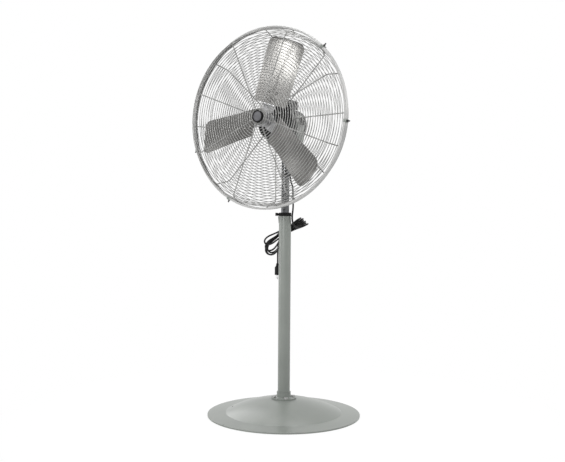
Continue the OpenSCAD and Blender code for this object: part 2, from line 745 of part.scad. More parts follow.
module switch_box() color([0.06, 0.06, 0.07]) difference() {
    union() {
        difference() {
            translate([0, (box_y0 + box_y1) / 2, fan_h + box_low])
                linear_extrude(box_h - box_wall - seat) round_rect(box_w, box_l, 6);
            translate([0, (box_y0 + box_y1) / 2, fan_h]) linear_extrude(box_top)
                round_rect(box_w - 2 * box_wall, box_l - 2 * box_wall, 4);
        }
        // posts for the lid's screws
        for (y = lid_screw_y) translate([0, y, fan_h + box_low])
            cylinder(r = 6, h = box_h - box_wall - seat);
    }
    translate([0, box_y0 - 20, fan_h]) rotate([-90, 0, 0]) cylinder(r = box_clear, h = box_l + 40);
    for (y = lid_screw_y) translate([0, y, fan_h + box_top - 16]) cylinder(r = 2 + run, h = 20);
    translate([0, box_y1 - 2 * box_wall - 6, knob_z]) rotate([-90, 0, 0])
        cylinder(r = 3 + run, h = 4 * box_wall + 6);
}

module switch_lid() color([0.08, 0.08, 0.09]) difference() {
    translate([0, (box_y0 + box_y1) / 2, fan_h + box_top - box_wall])
        linear_extrude(box_wall) round_rect(box_w, box_l, 6);
    for (y = lid_screw_y) translate([0, y, fan_h + box_top - box_wall - 1])
        cylinder(r = 2 + run, h = box_wall + 2);
}

module lid_screws() color([0.6, 0.6, 0.62])
    for (y = lid_screw_y) translate([0, y, fan_h + box_top]) {
        translate([0, 0, seat]) cylinder(r1 = 4, r2 = 3, h = 2);
        translate([0, 0, -8]) cylinder(r = 2, h = 9);
    }

module capacitor() color([0.75, 0.75, 0.78]) translate([capacitor_x, box_y0 + 18, fan_h + capacitor_z])
    rotate([-90, 0, 0]) cylinder(d = capacitor_d, h = box_l - 36);

module speed_knob() color([0.07, 0.07, 0.08]) translate([0, box_y1 + seat, knob_z]) rotate([-90, 0, 0]) {
    hand_knob(speed_knob_d, 14, 12, 2);
    translate([0, 0, -box_wall - 4]) cylinder(r = 3, h = box_wall + 5);
}

// --- guards ---

// Guard profile in radius and height: face line, shoulder arc, side line
function side_len(g) = (g[0] - rib_end_r * tan(g[1]) - edge_h) / (sin(g[2]) - cos(g[2]) * tan(g[1]));
function corner(g) = [rib_end_r - side_len(g) * cos(g[2]), edge_h + side_len(g) * sin(g[2])];
function reach(g) = g[3] * tan((g[2] - g[1]) / 2);
function face_end(g) = corner(g) - reach(g) * [cos(g[1]), -sin(g[1])];
function side_start(g) = corner(g) + reach(g) * [cos(g[2]), -sin(g[2])];
function shoulder_centre(g) = face_end(g) - g[3] * [sin(g[1]), cos(g[1])];
function face_start(g) = [g[4], g[0] - g[4] * tan(g[1])];
function face_l(g) = norm(face_end(g) - face_start(g));
function arc_l(g) = g[3] * (g[2] - g[1]) * PI / 180;
function side_l(g) = side_len(g) - reach(g);
function on_guard(g, s) =
    s < face_l(g) ? face_start(g) + s * [cos(g[1]), -sin(g[1])] + ring_lift * [sin(g[1]), cos(g[1])] :
    s < face_l(g) + arc_l(g) ?
        let (a = g[1] + (s - face_l(g)) / g[3] * 180 / PI)
            shoulder_centre(g) + (g[3] + ring_lift) * [sin(a), cos(a)] :
    side_start(g) + (s - face_l(g) - arc_l(g)) * [cos(g[2]), -sin(g[2])]
        + ring_lift * [sin(g[2]), cos(g[2])];

// Ring wires from one length along the profile to another
module guard_rings(g, from, to) rotate_extrude()
    for (s = [from : wire_pitch : to]) translate(on_guard(g, s)) circle(d = wire_d);

// The ring wires on the face, then the last few with those round the shoulder and the edge wire
function face_count(g) = floor((face_l(g) - g[5]) / wire_pitch) - last_face_rings;

module face_rings(g) guard_rings(g, g[5], g[5] + face_count(g) * wire_pitch);

module shoulder_rings(g) {
    guard_rings(g, g[5] + (face_count(g) + 1) * wire_pitch,
        face_l(g) + arc_l(g) + side_l(g) - band_w / 2 - wire_d);
    rotate_extrude() translate([edge_r, edge_h]) circle(d = edge_wire_d);
}

// A straight rod between two points in radius and height
module rib_rod(p, q) translate([0, p.x, p.y]) rotate([atan2(q.y - p.y, q.x - p.x) - 90, 0, 0])
    cylinder(d = rib_d, h = norm(q - p));

// One rib: a rod over the face, a bend that swells a little at the shoulder, and a short rod
module guard_rib(g) {
    into = [cos(g[1]), -sin(g[1])];
    out = [cos(g[2]), -sin(g[2])];
    rib_rod(face_start(g), face_end(g) + into);
    translate([0, shoulder_centre(g).x, shoulder_centre(g).y]) rotate([90, 0, 90])
        rotate([0, 0, 90 - g[2]]) rotate_extrude(angle = g[2] - g[1])
            translate([g[3], 0]) circle(d = rib_d + bend_swell);
    rib_rod(side_start(g) - out, [rib_end_r, edge_h]);
}

module guard_ribs(g, first) for (i = [0 : rib_count - 1])
    clock(first + i * 360 / rib_count) guard_rib(g);

module front_guard_rings() color([0.70, 0.71, 0.71]) head_frame() face_rings(front);

module front_guard_shoulder() color([0.70, 0.71, 0.71]) head_frame() shoulder_rings(front);

module front_guard_ribs() color([0.66, 0.67, 0.67]) head_frame() guard_ribs(front, front_rib_angle);

module rear_guard_rings() color([0.66, 0.67, 0.67]) head_frame() mirror([0, 0, 1]) face_rings(rear);

module rear_guard_shoulder() color([0.66, 0.67, 0.67]) head_frame() mirror([0, 0, 1])
    shoulder_rings(rear);

module rear_guard_ribs() color([0.62, 0.63, 0.63]) head_frame() mirror([0, 0, 1])
    guard_ribs(rear, rear_rib_angle);

// Rolled channel round both guards' edges, open inwards
module rim_band() color([0.58, 0.61, 0.58]) head_frame() rotate_extrude() difference() {
    translate([rim_r - band_h, 0]) round_rect(2 * band_h, band_w, 3);
    translate([rim_r - band_h - band_t, 0]) square([2 * band_h, band_w - 2 * band_t], center = true);
    translate([rim_r - 2 * band_h - 1, -band_w]) square([band_h + 1, 2 * band_w]);
}

// Holes for the screws that hold the rear guard on the motor
module mount_holes() head_frame() mirror([0, 0, 1]) for (i = [0 : 3])
    clock(45 + 90 * i) translate([0, mount_pcr, mount_face - 10]) cylinder(r = 3 + run, h = 24);

// Plate that the rear ribs are welded to, screwed to the front of the motor
module guard_mount_ring() color([0.42, 0.44, 0.44]) difference() {
    head_frame() mirror([0, 0, 1]) tube(mount_r, 30, mount_face - mount_t, mount_face);
    mount_holes();
}

module mount_screws() color([0.7, 0.7, 0.72]) head_frame() mirror([0, 0, 1])
    for (i = [0 : 3]) clock(45 + 90 * i) translate([0, mount_pcr, mount_face - mount_t - seat]) {
        translate([0, 0, -4]) hex(10, 4);
        translate([0, 0, -1]) cylinder(r = 3, h = mount_t + 2 * seat + 4);
    }

// Plate behind the front ribs, where they are welded
module guard_plate() color([0.66, 0.67, 0.67]) head_frame()
    translate([0, 0, front_depth - plate_d / 2 * tan(front_slope) - rib_d / 2 - seat - plate_t])
        cylinder(d = plate_d, h = plate_t);

// Plain disc with a raised rim, in front of the ribs
module guard_badge() color([0.25, 0.26, 0.27]) head_frame()
    translate([0, 0, front_depth - front[4] * tan(front_slope) + rib_d / 2 + seat]) rotate_extrude() {
        translate([0, 0]) square([badge_d / 2 - 4, 6]);
        translate([badge_d / 2 - 3.5, 4]) round_rect(7, 8, 3);
    }

// Folded clips over the rim band
module rim_clips() color([0.55, 0.57, 0.56]) head_frame()
    for (a = clip_angles) clock(a) difference() {
        translate([-clip_w / 2, rim_r - band_h, -band_w / 2 - 2])
            cube([clip_w, band_h + 2.5, band_w + 4]);
        translate([0, 0, -band_w / 2 - seat]) cylinder(r = rim_r + seat, h = band_w + 2 * seat, $fn = 200);
    }

module clip_screws() color([0.10, 0.10, 0.11]) head_frame()
    for (a = clip_angles) clock(a) translate([0, rim_r + 2.5 + seat, 0]) rotate([-90, 0, 0]) {
        hex(9, 5);
        cylinder(d = 6, h = 12);
        translate([0, 0, 12]) cylinder(d1 = 6, d2 = 4, h = 1.5);
    }

// --- rotor ---

module motor_shaft() color([0.78, 0.78, 0.80]) motor_frame()
    translate([0, 0, -rim_y - shaft_front]) cylinder(r = shaft_r, h = rear_y + rim_y + shaft_front - 3.5);

module rotor_core() color([0.5, 0.5, 0.52]) motor_frame() difference() {
    translate([0, 0, core_y - core_l / 2]) cylinder(d = rotor_d, h = core_l);
    translate([0, 0, core_y - core_l]) cylinder(r = shaft_r + run, h = 2 * core_l);
    for (i = [0 : 11]) rotate([0, 0, 30 * i]) translate([rotor_d * 0.32, 0, core_y - core_l])
        cylinder(d = rotor_d * 0.07, h = 2 * core_l);
}

module fan_hub() color([0.82, 0.83, 0.84]) head_frame() difference() {
    union() {
        translate([0, 0, hub_back]) cylinder(d1 = hub_d - 4, d2 = hub_d, h = 4);
        translate([0, 0, hub_back + 4]) cylinder(d = hub_d, h = hub_front - hub_back - 4);
        translate([0, 0, -spider_t / 2 - seat - 6]) cylinder(d = hub_d + 18, h = 6);
    }
    translate([0, 0, hub_back - 1]) cylinder(r = shaft_r + run, h = hub_front - hub_back + 2);
    translate([0, 0, hub_back + 14]) rotate([-90, 0, 0]) cylinder(r = 3 + run, h = hub_d);
}

module hub_screw() color([0.2, 0.2, 0.21]) head_frame()
    translate([0, shaft_r + 2 * run + seat / 3, hub_back + 14]) rotate([-90, 0, 0])
        cylinder(r = 3, h = hub_d / 2 - shaft_r + 1);

// Blade axes: y outwards along the blade, x clockwise, z forwards; a is the pitch
module pitched(a) rotate([0, a, 0]) children();

// A closed sheet between two grids of points, rows along y and columns across
module sheet(front_rows, back_rows) {
    rows = len(front_rows);
    cols = len(front_rows[0]);
    points = [for (grid = [front_rows, back_rows], row = grid, p = row) p];
    back = rows * cols;
    skins = [for (i = [0 : rows - 2], j = [0 : cols - 2])
        let (a = i * cols + j, b = a + cols)
        each [[a, b, a + 1], [a + 1, b, b + 1],
            [back + a, back + a + 1, back + b], [back + a + 1, back + b + 1, back + b]]];
    long_edges = [for (i = [0 : rows - 2], e = [0, 1])
        let (a = i * cols + e * (cols - 1), b = a + cols)
        each e == 0 ? [[a, back + a, b], [b, back + a, back + b]]
            : [[a, b, back + a], [b, back + b, back + a]]];
    ends = [for (j = [0 : cols - 2], e = [0, 1])
        let (a = e * (rows - 1) * cols + j)
        each e == 0 ? [[a, a + 1, back + a], [a + 1, back + a + 1, back + a]]
            : [[a, back + a, a + 1], [a + 1, back + a, back + a + 1]]];
    polyhedron(points, concat(skins, long_edges, ends));
}

function ease(x) = let (t = max(0, min(1, x))) t * t * (3 - 2 * t);

// Spider arm: flat at the middle plate, turned to the blade's pitch before the blade begins
arm_rows = [spider_plate_r - 8, for (k = [0 : 6]) arm_start_r + (arm_turned_r - arm_start_r) * k / 6,
    arm_end_r];
function arm_point(r, x, z) =
    let (share = ease((r - arm_start_r) / (arm_turned_r - arm_start_r)), a = root_pitch * share,
        drop = z - share * (blade_t / 2 + seat + arm_t / 2))
    [x * cos(a) + drop * sin(a), r, drop * cos(a) - x * sin(a)];
module spider_arm() sheet(
    [for (r = arm_rows) [for (x = [-1, 1]) arm_point(r, x * arm_w / 2, arm_t / 2)]],
    [for (r = arm_rows) [for (x = [-1, 1]) arm_point(r, x * arm_w / 2, -arm_t / 2)]]);

module blade_spider() color([0.75, 0.76, 0.77]) head_frame() difference() {
    union() {
        translate([0, 0, -spider_t / 2]) cylinder(r = spider_plate_r, h = spider_t);
        for (i = [0 : blade_count - 1]) clock(blade_angle + i * 360 / blade_count) spider_arm();
    }
    translate([0, 0, -50]) cylinder(d = hub_d + 2 * run, h = 100);
    for (i = [0 : blade_count - 1]) clock(blade_angle + i * 360 / blade_count) pitched(root_pitch)
        for (p = rivet_spots) translate([p.y, p.x, -20]) cylinder(d = rivet_d + 2 * run, h = 40);
}

// Blade surface: u runs from root to tip, v across from -0.5 to 0.5
function blade_r(u) = blade_root_r + (sweep_r - blade_root_r) * u;
function twist_share(u) = ease((blade_r(u) - arm_end_r) / (sweep_r - arm_end_r));
function tip_cut(r) = r > sweep_r - tip_corner
    ? tip_corner - sqrt(max(0, pow(tip_corner, 2) - pow(r - sweep_r + tip_corner, 2))) : 0;
function blade_point(u, v, side) =
    let (r = blade_r(u), share = twist_share(u),
        chord = root_chord + (tip_chord - root_chord) * u - 2 * tip_cut(r),
        pitch = root_pitch + (tip_pitch - root_pitch) * share,
        rise = -camber * chord * (1 - 4 * v * v) * share + side * blade_t / 2,
        x = v * chord * cos(pitch) + rise * sin(pitch))
    [x, r - u * (sweep_r - sqrt(pow(sweep_r, 2) - x * x)), rise * cos(pitch) - v * chord * sin(pitch)];

// stations crowd towards the tip, where the corners turn
blade_rows = [for (i = [0 : 16]) 0.9995 - 0.9995 * pow(1 - i / 16, 1.6)];
blade_columns = [for (j = [0 : 10]) j / 10 - 0.5];

module blade_sheet() sheet(
    [for (u = blade_rows) [for (v = blade_columns) blade_point(u, v, 1)]],
    [for (u = blade_rows) [for (v = blade_columns) blade_point(u, v, -1)]]);

module blade(i) head_frame() clock(blade_angle + i * 360 / blade_count) difference() {
    blade_sheet();
    pitched(root_pitch) for (p = rivet_spots) translate([p.y, p.x, -20])
        cylinder(d = rivet_d + 2 * run, h = 40);
}

module blade_1() color([0.72, 0.73, 0.75]) blade(0);

module blade_2() color([0.72, 0.73, 0.75]) blade(1);

module blade_3() color([0.72, 0.73, 0.75]) blade(2);

module blade_rivets() color([0.80, 0.80, 0.82]) head_frame()
    for (i = [0 : blade_count - 1]) clock(blade_angle + i * 360 / blade_count) pitched(root_pitch)
        for (p = rivet_spots) translate([p.y, p.x, 0]) {
            back_z = -blade_t / 2 - 2 * seat - arm_t;
            translate([0, 0, back_z - 1]) cylinder(d = rivet_d, h = blade_t / 2 + seat + 1 - back_z);
            translate([0, 0, blade_t / 2 + seat]) cylinder(d1 = 2 * rivet_d, d2 = rivet_d, h = 2);
            translate([0, 0, back_z - 2]) cylinder(d1 = rivet_d, d2 = 2 * rivet_d, h = 2);
        }

base_dish();
foot_flange();
flange_bolts();
flange_nuts();
lower_pole();
pole_collar();
collar_bracket();
lock_screw();
lock_knob();
mast_guide();
mast_tube();
yoke();
socket_bolts();
cord_clip();
motor_lead();
cord_drop();
cord_hank();
cord_tie();
cord_tail();
plug_body();
plug_prongs();
motor_shell();
front_bell();
rear_bell();
stator_core();
stator_windings();
front_bearing();
rear_bearing();
motor_band();
tilt_studs();
tilt_knob_left();
tilt_knob_right();
switch_box();
switch_lid();
lid_screws();
capacitor();
speed_knob();
cord_gland();
guard_mount_ring();
mount_screws();
rear_guard_rings();
rear_guard_shoulder();
rear_guard_ribs();
front_guard_rings();
front_guard_shoulder();
front_guard_ribs();
rim_band();
guard_plate();
guard_badge();
rim_clips();
clip_screws();
motor_shaft();
rotor_core();
fan_hub();
hub_screw();
blade_spider();
blade_1();
blade_2();
blade_3();
blade_rivets();
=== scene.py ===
import bpy
import bmesh
import json
import math
from mathutils import Vector, Matrix


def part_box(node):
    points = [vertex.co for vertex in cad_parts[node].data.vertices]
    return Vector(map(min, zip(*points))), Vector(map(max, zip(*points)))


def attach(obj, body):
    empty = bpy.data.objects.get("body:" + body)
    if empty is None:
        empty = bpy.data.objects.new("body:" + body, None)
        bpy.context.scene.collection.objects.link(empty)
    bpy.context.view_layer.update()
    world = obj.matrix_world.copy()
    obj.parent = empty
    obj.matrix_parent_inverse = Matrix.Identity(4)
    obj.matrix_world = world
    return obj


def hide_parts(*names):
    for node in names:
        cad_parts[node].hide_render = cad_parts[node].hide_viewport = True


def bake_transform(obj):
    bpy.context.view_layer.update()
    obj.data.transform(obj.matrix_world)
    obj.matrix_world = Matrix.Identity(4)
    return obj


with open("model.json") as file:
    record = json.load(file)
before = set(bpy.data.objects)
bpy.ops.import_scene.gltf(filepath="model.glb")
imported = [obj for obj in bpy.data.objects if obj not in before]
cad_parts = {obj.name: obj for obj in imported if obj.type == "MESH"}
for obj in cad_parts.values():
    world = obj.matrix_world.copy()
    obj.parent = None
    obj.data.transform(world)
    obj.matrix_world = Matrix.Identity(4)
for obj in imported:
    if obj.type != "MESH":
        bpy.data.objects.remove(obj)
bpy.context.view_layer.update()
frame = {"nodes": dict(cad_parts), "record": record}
nodes = frame["nodes"]
slotOf = {part["node"]: part["material_slot"] for part in frame["record"]["subparts"]}
print("frame loaded,", len(nodes), "nodes")


# camera

cameraView = {
    "place": (1.8591, -2.9259, 0.8461),  # metres, the pole stands at the origin
    "lookAt": (-0.0096, -0.0062, 0.8599),
    "roll": 0.414,  # degrees
    "lens": 46.94,  # millimetres, as the sensor
    "sensor": 36,
    "farthest": 60,  # metres
}


def setCamera():
    bpy.ops.object.camera_add(location=cameraView["place"])
    camera = bpy.context.object
    camera.data.lens = cameraView["lens"]
    camera.data.sensor_width = cameraView["sensor"]
    camera.data.clip_end = cameraView["farthest"]
    aim = Vector(cameraView["lookAt"]) - Vector(cameraView["place"])
    roll = Matrix.Rotation(math.radians(cameraView["roll"]), 3, "Z")
    camera.rotation_euler = (aim.to_track_quat("-Z", "Y").to_matrix() @ roll).to_euler()
    bpy.context.scene.camera = camera


setCamera()
print("camera set")


# materials

pattern = {
    "cloudDetail": 5,
    "grainDetail": 2,
    "colourSpan": (0.35, 0.65),  # the stretch of the noise between dark and light
    "roughSpan": (0.3, 0.7),  # and between the two roughnesses
}


def startMaterial(name):
    material = bpy.data.materials.new(name)
    material.use_nodes = True
    shader = material.node_tree.nodes["Principled BSDF"]
    return material, material.node_tree, shader


def noiseOn(tree, scale, detail, stretch=(1, 1, 1), turn=(0, 0, 0)):
    coords = tree.nodes.new("ShaderNodeTexCoord")
    mapping = tree.nodes.new("ShaderNodeMapping")
    mapping.inputs["Scale"].default_value = stretch
    mapping.inputs["Rotation"].default_value = turn
    noise = tree.nodes.new("ShaderNodeTexNoise")
    noise.inputs["Scale"].default_value = scale
    noise.inputs["Detail"].default_value = detail
    tree.links.new(coords.outputs["Object"], mapping.inputs["Vector"])
    tree.links.new(mapping.outputs["Vector"], noise.inputs["Vector"])
    return noise.outputs["Fac"]


def colourFrom(tree, source, shader, dark, light):
    ramp = tree.nodes.new("ShaderNodeValToRGB")
    ends = ramp.color_ramp.elements
    ends[0].position, ends[1].position = pattern["colourSpan"]
    ends[0].color, ends[1].color = (*dark, 1), (*light, 1)
    tree.links.new(source, ramp.inputs["Fac"])
    tree.links.new(ramp.outputs["Color"], shader.inputs["Base Color"])


def roughnessFrom(tree, source, shader, low, high):
    spread = tree.nodes.new("ShaderNodeMapRange")
    spread.inputs["From Min"].default_value = pattern["roughSpan"][0]
    spread.inputs["From Max"].default_value = pattern["roughSpan"][1]
    spread.inputs["To Min"].default_value = low
    spread.inputs["To Max"].default_value = high
    tree.links.new(source, spread.inputs["Value"])
    tree.links.new(spread.outputs["Result"], shader.inputs["Roughness"])


def bumpFrom(tree, source, shader, depth):
    bump = tree.nodes.new("ShaderNodeBump")
    bump.inputs["Distance"].default_value = depth
    tree.links.new(source, bump.inputs["Height"])
    tree.links.new(bump.outputs["Normal"], shader.inputs["Normal"])


# colour pair, roughness pair, metallic, gloss, cloud and grain scale, grain depth in metres
finishes = {
    "greyEnamel": dict(dark=(0.188, 0.203, 0.187), light=(0.215, 0.231, 0.213), rough=(0.27, 0.33),
                       metallic=0.0, gloss=0.5, cloud=6, grain=420, depth=0.00002),
    "greyBell": dict(dark=(0.030, 0.031, 0.030), light=(0.045, 0.046, 0.045), rough=(0.4, 0.5),
                     metallic=0.0, gloss=0.35, cloud=12, grain=300, depth=0.00008),
    "blackEnamel": dict(dark=(0.006, 0.006, 0.006), light=(0.012, 0.012, 0.012), rough=(0.3, 0.42),
                        metallic=0.0, gloss=0.25, cloud=14, grain=350, depth=0.00005),
    "blackMoulding": dict(dark=(0.004, 0.004, 0.004), light=(0.009, 0.009, 0.009),
                          rough=(0.42, 0.58), metallic=0.0, gloss=0.13, cloud=40, grain=900,
                          depth=0.00008),
    "cordVinyl": dict(dark=(0.004, 0.004, 0.004), light=(0.008, 0.008, 0.008), rough=(0.28, 0.38),
                      metallic=0.0, gloss=0.25, cloud=30, grain=700, depth=0.00006),
    "nylon": dict(dark=(0.66, 0.64, 0.55), light=(0.74, 0.72, 0.63), rough=(0.4, 0.5),
                  metallic=0.0, gloss=0.4, cloud=30, grain=500, depth=0.00005),
    # the chrome's base colour is set dark, a painted dark reflection, so its mirror of the white
    # surroundings comes out dark grey
    "chromePaintedDarkReflection": dict(dark=(0.085, 0.087, 0.09), light=(0.125, 0.128, 0.132), rough=(0.12, 0.2),
                        metallic=1.0, gloss=0.5, cloud=9, grain=160, depth=0.000004),
    "guardWire": dict(dark=(0.23, 0.23, 0.225), light=(0.33, 0.33, 0.322), rough=(0.3, 0.45),
                      metallic=0.4, gloss=0.4, cloud=22, grain=500, depth=0.00001),
    "rimSteel": dict(dark=(0.36, 0.36, 0.355), light=(0.44, 0.44, 0.435), rough=(0.32, 0.46),
                     metallic=0.2, gloss=0.4, cloud=9, grain=380, depth=0.00001),
    "blackOxide": dict(dark=(0.02, 0.02, 0.021), light=(0.045, 0.045, 0.046), rough=(0.35, 0.5),
                       metallic=0.8, gloss=0.4, cloud=60, grain=700, depth=0.00001),
    "zincSteel": dict(dark=(0.42, 0.42, 0.43), light=(0.54, 0.54, 0.55), rough=(0.25, 0.4),
                      metallic=1.0, gloss=0.5, cloud=50, grain=500, depth=0.00001),
    "copperWire": dict(dark=(0.42, 0.15, 0.05), light=(0.62, 0.26, 0.10), rough=(0.25, 0.4),
                       metallic=0.4, gloss=0.5, cloud=60, grain=300, depth=0.0003),
    "laminations": dict(dark=(0.16, 0.16, 0.17), light=(0.26, 0.26, 0.27), rough=(0.4, 0.6),
                        metallic=0.8, gloss=0.4, cloud=30, grain=500, depth=0.0001),
    "badgeFace": dict(dark=(0.100, 0.100, 0.108), light=(0.130, 0.130, 0.138), rough=(0.36, 0.48),
                      metallic=0.2, gloss=0.35, cloud=40, grain=700, depth=0.00006),
}


def makeFinish(name):
    look = finishes[name]
    material, tree, shader = startMaterial(name)
    clouds = noiseOn(tree, look["cloud"], pattern["cloudDetail"])
    grain = noiseOn(tree, look["grain"], pattern["grainDetail"])
    colourFrom(tree, clouds, shader, look["dark"], look["light"])
    roughnessFrom(tree, clouds, shader, *look["rough"])
    bumpFrom(tree, grain, shader, look["depth"])
    shader.inputs["Metallic"].default_value = look["metallic"]
    shader.inputs["Specular IOR Level"].default_value = look["gloss"]
    return material


finish = {name: makeFinish(name) for name in finishes}

bladeSheet = {
    "dark": (0.135, 0.132, 0.127),
    "light": (0.180, 0.177, 0.170),
    "rough": (0.24, 0.34),
    "metallic": 0.75,
    "cloud": 7,
    "rolling": 90,
    "rollingDetail": 4,
    "rollingStretch": (14, 1, 0.6),  # fine across the blade, long along it
    "rollingDepth": 0.000006,
    "angles": {"blade_1": 19, "blade_2": 139, "blade_3": 259},  # clockwise from the top
}


def rolledAluminium(name, angle):
    material, tree, shader = startMaterial(name)
    turn = (0, math.radians(-angle), 0)
    clouds = noiseOn(tree, bladeSheet["cloud"], pattern["cloudDetail"], turn=turn)
    rolled = noiseOn(tree, bladeSheet["rolling"], bladeSheet["rollingDetail"],
                     stretch=bladeSheet["rollingStretch"], turn=turn)
    colourFrom(tree, clouds, shader, bladeSheet["dark"], bladeSheet["light"])
    roughnessFrom(tree, rolled, shader, *bladeSheet["rough"])
    bumpFrom(tree, rolled, shader, bladeSheet["rollingDepth"])
    shader.inputs["Metallic"].default_value = bladeSheet["metallic"]
    return material


finishOfSlot = {
    "grey_paint": "greyEnamel", "bell_paint": "greyBell", "black_paint": "blackEnamel",
    "guard_wire": "guardWire", "black_plastic": "blackMoulding", "nylon": "nylon",
    "chromed_tube": "chromePaintedDarkReflection", "dark_steel": "blackOxide", "bright_steel": "zincSteel",
    "cord_jacket": "cordVinyl", "tie_plastic": "blackMoulding", "brass_prongs": "zincSteel",
    "lamination": "laminations", "copper_wire": "copperWire", "can_aluminium": "zincSteel",
    "badge_grey": "badgeFace",
}

finishOfNode = {  # nodes that differ from their slot
    "motor_shell": "greyBell", "motor_band": "greyBell", "guard_mount_ring": "blackEnamel",
    "fan_hub": "zincSteel", "blade_spider": "zincSteel",
    "rim_band": "rimSteel", "flange_bolts": "rimSteel",
}


def dressNodes():
    rivetMetal = rolledAluminium("rivetAluminium", 0)
    for name, slot in slotOf.items():
        if name in bladeSheet["angles"]:
            material = rolledAluminium(name + "Sheet", bladeSheet["angles"][name])
        elif name in finishOfNode:
            material = finish[finishOfNode[name]]
        elif slot in finishOfSlot:
            material = finish[finishOfSlot[slot]]
        else:
            material = rivetMetal
        nodes[name].data.materials.clear()
        nodes[name].data.materials.append(material)


dressNodes()
print("materials done")


# tools for modelled pieces

shaping = {
    "facing": 0.9,  # how squarely a picked face looks the asked way
    "square": 0.999,  # and where it has to be quite square
    "nearTop": 0.9,  # share of the height above which a face is the top
    "bevelSegments": 2,
    "bevelFrom": 30,  # degrees between two faces, past which their edge is rounded
    "smoothBelow": 35,
}


def clearSelection():
    bpy.ops.object.select_all(action="DESELECT")


def selectOnly(piece):
    clearSelection()
    piece.select_set(True)
    bpy.context.view_layer.objects.active = piece


def beginShaping(name):
    piece = bpy.context.object
    piece.name = name
    bpy.ops.object.transform_apply(location=True, rotation=True, scale=True)
    bpy.ops.object.mode_set(mode="EDIT")
    bpy.ops.mesh.select_all(action="DESELECT")
    return piece


def startRound(name, radius, depth, sides, z=0.0):
    # a round blank along z, its lower face at z
    clearSelection()
    bpy.ops.mesh.primitive_cylinder_add(vertices=sides, radius=radius, depth=depth,
                                        location=(0, 0, z + depth / 2))
    return beginShaping(name)


def startBlock(name, size, z):
    clearSelection()
    bpy.ops.mesh.primitive_cube_add(size=1, location=(0, 0, z + size[2] / 2))
    bpy.context.object.scale = size
    return beginShaping(name)


def pickFaces(test):
    # selects the faces whose centre and normal pass the test
    bpy.ops.mesh.select_mode(type="FACE")
    bpy.ops.mesh.select_all(action="DESELECT")
    mesh = bmesh.from_edit_mesh(bpy.context.object.data)
    for face in mesh.faces:
        face.select_set(bool(test(face.calc_center_median(), face.normal)))
    bmesh.update_edit_mesh(bpy.context.object.data)


def pickTop(z):
    pickFaces(lambda centre, normal: normal.z > shaping["facing"] and centre.z > z)


def pickUpright(least):
    # selects the edges that rise by more than this
    bpy.ops.mesh.select_mode(type="EDGE")
    bpy.ops.mesh.select_all(action="DESELECT")
    mesh = bmesh.from_edit_mesh(bpy.context.object.data)
    for edge in mesh.edges:
        edge.select_set(abs(edge.verts[0].co.z - edge.verts[1].co.z) > least)
    bmesh.update_edit_mesh(bpy.context.object.data)


def pickVerts(test):
    bpy.ops.mesh.select_mode(type="VERT")
    bpy.ops.mesh.select_all(action="DESELECT")
    mesh = bmesh.from_edit_mesh(bpy.context.object.data)
    for vert in mesh.verts:
        vert.select_set(test(vert.co))
    bmesh.update_edit_mesh(bpy.context.object.data)


def raiseFace(height, share=1.0):
    # extrudes the picked face along z and scales it about the axis
    bpy.ops.mesh.extrude_region_move(TRANSFORM_OT_translate={"value": (0, 0, height)})
    if share != 1.0:
        bpy.ops.transform.resize(value=(share, share, 1), center_override=(0, 0, 0))


def stopShaping(piece, bevel=0.0, smoothBelow=shaping["smoothBelow"]):
    bpy.ops.object.mode_set(mode="OBJECT")
    if bevel:
        rounding = piece.modifiers.new("rounding", "BEVEL")
        rounding.width = bevel
        rounding.segments = shaping["bevelSegments"]
        rounding.angle_limit = math.radians(shaping["bevelFrom"])
        bpy.ops.object.modifier_apply(modifier=rounding.name)
    selectOnly(piece)
    bpy.ops.object.shade_smooth_by_angle(angle=math.radians(smoothBelow))


def settle(piece, matrix):
    # moves the finished piece to its place and leaves its object at the origin
    selectOnly(piece)
    piece.matrix_world = matrix
    bpy.ops.object.transform_apply(location=True, rotation=True, scale=True)


def joinTo(piece, others):
    selectOnly(piece)
    for other in others:
        other.select_set(True)
    bpy.ops.object.join()
    return piece


def dress(piece, body, node, *materials):
    piece.data.materials.clear()
    for material in materials:
        piece.data.materials.append(material)
    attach(piece, body)
    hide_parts(node)


def spun(axis, degrees):
    return Matrix.Rotation(math.radians(degrees), 4, axis)


def moved(x, y, z):  # millimetres
    return Matrix.Translation((x / 1000, y / 1000, z / 1000))


# tools for cords

def smoothPath(points, steps=8):
    # a spline through the points that stays round where they are unevenly spaced
    path = []
    last = len(points) - 1

    def slope(i):
        if i in (0, last):
            return (points[min(i + 1, last)] - points[max(i - 1, 0)]).normalized()
        before, after = points[i] - points[i - 1], points[i + 1] - points[i]
        near, far = before.length, after.length
        return (before * (far / near) + after * (near / far)) / (near + far)

    for i in range(last):
        b, c = points[i], points[i + 1]
        gap = (c - b).length
        mb, mc = slope(i) * gap, slope(i + 1) * gap
        for step in range(steps):
            t = step / steps
            path.append(b * (2 * t ** 3 - 3 * t * t + 1) + mb * (t ** 3 - 2 * t * t + t)
                        + c * (3 * t * t - 2 * t ** 3) + mc * (t ** 3 - t * t))
    path.append(points[-1])
    return path


def relax(path, passes):
    # evens out the bends, the two points at each end stay
    for _ in range(passes):
        path = [path[0], path[1]] + [
            path[i] * 0.5 + (path[i - 1] + path[i + 1]) * 0.25 for i in range(2, len(path) - 2)
        ] + [path[-2], path[-1]]
    return path


def pathLength(path):
    return sum((b - a).length for a, b in zip(path, path[1:]))


def evenPath(path, spacing):
    total = pathLength(path)
    count = max(2, round(total / spacing))
    even, walked, i = [path[0]], 0.0, 0
    for k in range(1, count):
        target = total * k / count
        while walked + (path[i + 1] - path[i]).length < target:
            walked += (path[i + 1] - path[i]).length
            i += 1
        step = (path[i + 1] - path[i]).length
        even.append(path[i].lerp(path[i + 1], (target - walked) / step))
    return even + [path[-1]]


